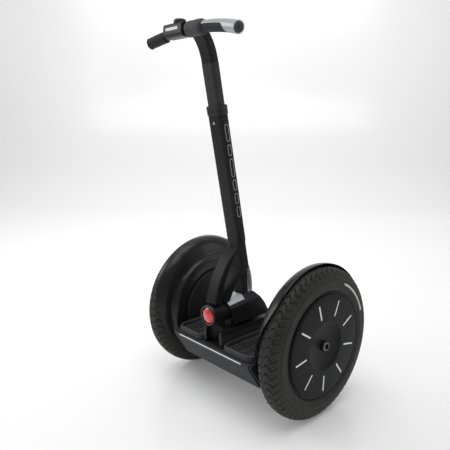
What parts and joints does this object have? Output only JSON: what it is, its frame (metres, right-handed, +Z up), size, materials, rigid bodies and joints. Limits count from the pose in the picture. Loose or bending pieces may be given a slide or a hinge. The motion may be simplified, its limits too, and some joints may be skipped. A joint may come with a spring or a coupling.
{
  "type": "two-wheel self-balancing personal transporter",
  "caption": "Two-wheel self-balancing transporter with fender-guarded tyres, rubber foot mats, a lean-to-steer column, a height-adjusting stem and a swept handlebar",
  "frame": {"origin": "on the floor, under the middle of the whole machine; the axle line is 16.1 mm behind it at a height of 241.5 mm", "axes": "-Y forward, the way the rider faces towards the handlebar, +X to the rider's left along the axle, +Z up"},
  "size_m": [0.627, 0.5362, 1.2043],
  "materials": {
    "black_plastic": "satin",
    "grey_plastic": "satin",
    "black_paint": "satin",
    "tyre_rubber": "matte",
    "mat_rubber": "matte",
    "grip_rubber": "matte",
    "steel": "satin",
    "silver_trim": "satin",
    "red_lens": "gloss",
    "pale_panel": "gloss",
    "board_green": "matte",
    "battery_grey": "matte"
  },
  "bodies": {
    "chassis": {"chassis": "black_paint", "rear_fascia": "grey_plastic", "front_fascia": "grey_plastic", "front_stripe": "silver_trim", "control_board": "board_green", "balance_sensor": "black_plastic", "console_base": "black_plastic", "pivot_shaft": "steel", "centring_bush": "mat_rubber", "stand_bracket": "black_paint", "right_battery": "battery_grey", "left_battery": "battery_grey", "right_mat": "mat_rubber", "left_mat": "mat_rubber", "right_gearbox_case": "black_paint", "left_gearbox_case": "black_paint", "right_gearbox_lid": "black_paint", "left_gearbox_lid": "black_paint", "right_motor": "steel", "left_motor": "steel", "right_fender": "black_plastic", "left_fender": "black_plastic"},
    "right_wheel": {"right_tyre": "tyre_rubber", "right_rim": "grey_plastic", "right_hub_cap": "black_plastic", "right_cap_trim": "silver_trim", "right_axle_nut": "steel", "right_output_shaft": "steel", "right_output_gear": "steel"},
    "left_wheel": {"left_tyre": "tyre_rubber", "left_rim": "grey_plastic", "left_hub_cap": "black_plastic", "left_cap_trim": "silver_trim", "left_axle_nut": "steel", "left_output_shaft": "steel", "left_output_gear": "steel"},
    "right_motor_shaft": {"right_motor_pinion": "steel"},
    "left_motor_shaft": {"left_motor_pinion": "steel"},
    "lean_frame": {"pivot_barrel": "black_paint", "pivot_cover": "black_plastic", "label_panel": "pale_panel", "nose_reflector_ring": "silver_trim", "nose_reflector_lens": "red_lens", "frame_base": "black_paint", "lower_tube": "black_paint", "height_collar": "black_plastic", "clamp_bolt": "steel"},
    "handlebar": {"sliding_stem": "black_paint", "stem_head": "black_paint", "handlebar": "black_paint", "controller_dock": "black_plastic", "right_grip": "grip_rubber", "left_grip": "grip_rubber", "right_grip_shell": "grey_plastic", "left_grip_shell": "silver_trim"},
    "key": {"key_controller": "grey_plastic"},
    "key_button": {"key_button": "red_lens"},
    "right_switch": {"right_rider_switch": "black_plastic"},
    "left_switch": {"left_rider_switch": "black_plastic"},
    "stand": {"parking_stand": "steel"}
  },
  "joints": [
    {"name": "left_wheel_turn", "type": "hinge", "parent": "chassis", "child": "left_wheel", "pos_m": [0.27, 0.0161, 0.2415], "axis": [1, 0, 0], "continuous": true},
    {"name": "right_wheel_turn", "type": "hinge", "parent": "chassis", "child": "right_wheel", "pos_m": [-0.27, 0.0161, 0.2415], "axis": [1, 0, 0], "continuous": true},
    {"name": "left_motor_turn", "type": "hinge", "parent": "chassis", "child": "left_motor_shaft", "pos_m": [0.206, -0.0439, 0.1595], "axis": [1, 0, 0], "continuous": true},
    {"name": "right_motor_turn", "type": "hinge", "parent": "chassis", "child": "right_motor_shaft", "pos_m": [-0.206, -0.0439, 0.1595], "axis": [1, 0, 0], "continuous": true},
    {"name": "lean", "type": "hinge", "parent": "chassis", "child": "lean_frame", "pos_m": [0, -0.1039, 0.308], "axis": [0, 1, 0], "range_deg": [-12, 12], "stiffness_Nm_per_rad": 120},
    {"name": "handlebar_height", "type": "slide", "parent": "lean_frame", "child": "handlebar", "axis": [0, -0.1994, 0.9799], "range_m": [0, 0.12]},
    {"name": "key_lift", "type": "slide", "parent": "handlebar", "child": "key", "axis": [0, 0, 1], "range_m": [0, 0.02]},
    {"name": "key_press", "type": "slide", "parent": "key", "child": "key_button", "axis": [0, 0, -1], "range_m": [0, 0.001], "stiffness_N_per_m": 400},
    {"name": "left_switch_press", "type": "slide", "parent": "chassis", "child": "left_switch", "axis": [0, 0, -1], "range_m": [0, 0.002], "stiffness_N_per_m": 1500},
    {"name": "right_switch_press", "type": "slide", "parent": "chassis", "child": "right_switch", "axis": [0, 0, -1], "range_m": [0, 0.002], "stiffness_N_per_m": 1500},
    {"name": "stand_fold", "type": "hinge", "parent": "chassis", "child": "stand", "pos_m": [0.152, -0.0339, 0.0965], "axis": [1, 0, 0], "range_deg": [0, 92]}
  ],
  "couplings": [
    {"joint": "right_motor_turn", "follows": "right_wheel_turn", "ratio": -5},
    {"joint": "left_motor_turn", "follows": "left_wheel_turn", "ratio": -5}
  ]
}
